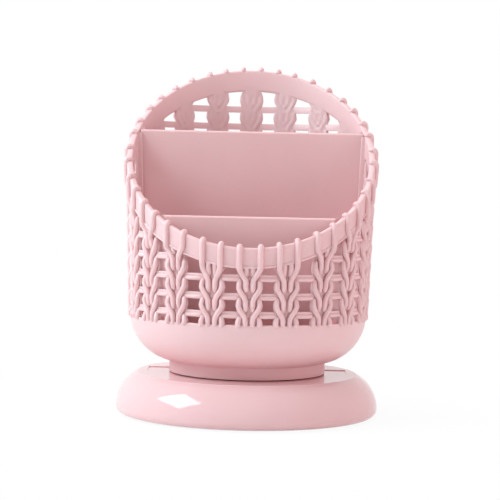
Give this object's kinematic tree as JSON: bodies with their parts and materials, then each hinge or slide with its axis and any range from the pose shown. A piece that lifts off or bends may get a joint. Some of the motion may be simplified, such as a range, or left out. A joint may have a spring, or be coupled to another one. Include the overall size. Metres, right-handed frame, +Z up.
{
  "type": "revolving pen holder",
  "caption": "Revolving pen holder: round knit-look basket with a slanted rim and lift-out dividers, turning on a wider glossy disc base.",
  "frame": {"origin": "on the turning axis, at the level of the surface that the feet stand on", "axes": "+Z up along the turning axis, -Y towards the low front of the slanted rim, +X to the right seen from the front"},
  "size_m": [0.11, 0.11, 0.1493],
  "materials": {
    "base_gloss": "glossy pale pink moulded plastic",
    "base_satin": "satin pale pink moulded plastic",
    "basket_satin": "satin pale pink moulded plastic",
    "divider_satin": "satin pale pink moulded plastic",
    "rubber": "matt translucent grey rubber",
    "bearing_plastic": "natural white bearing plastic",
    "steel": "zinc-plated steel"
  },
  "bodies": {
    "base": {"base_shell": "base_gloss", "base_bottom_cover": "base_satin", "base_foot_pads": "rubber", "base_cover_screws": "steel", "pivot_bush": "bearing_plastic"},
    "basket": {"basket": "basket_satin", "pivot_washer": "steel", "pivot_screw": "steel"},
    "rear_divider": {"rear_divider": "divider_satin"},
    "front_divider": {"front_divider": "divider_satin"}
  },
  "joints": [
    {"name": "basket_turn", "type": "hinge", "parent": "base", "child": "basket", "pos_m": [0, 0, 0.0176], "axis": [0, 0, 1], "continuous": true},
    {"name": "rear_divider_lift", "type": "slide", "parent": "basket", "child": "rear_divider", "axis": [0, 0, 1], "range_m": [0, 0.13]},
    {"name": "front_divider_lift", "type": "slide", "parent": "basket", "child": "front_divider", "axis": [0, 0, 1], "range_m": [0, 0.13]}
  ]
}
